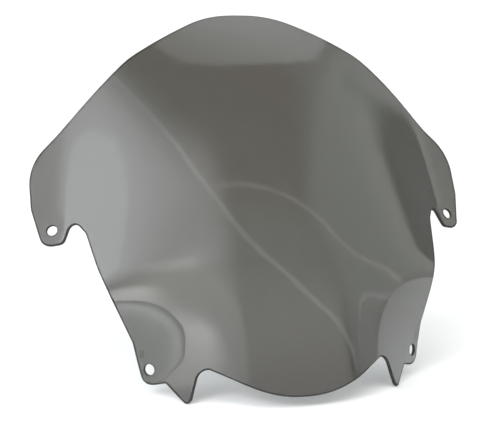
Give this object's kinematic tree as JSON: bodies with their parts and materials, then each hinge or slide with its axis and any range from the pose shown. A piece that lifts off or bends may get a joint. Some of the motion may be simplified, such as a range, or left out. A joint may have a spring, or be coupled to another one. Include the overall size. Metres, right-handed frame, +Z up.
{
  "type": "motorcycle windshield screen",
  "caption": "Smoked transparent windshield screen with a central bubble, flared wings and fixing tabs, for a faired motorcycle.",
  "frame": {"origin": "bottom centre of the bounding box, below the middle of the sheet", "axes": "+Z up as worn on the motorcycle, -Y forward on the convex side, X across, symmetric about X = 0"},
  "size_m": [0.432, 0.2382, 0.3367],
  "materials": {
    "smoked_sheet": "polished, transparent, grey smoked"
  },
  "bodies": {
    "root": {"screen": "smoked_sheet"}
  },
  "joints": []
}
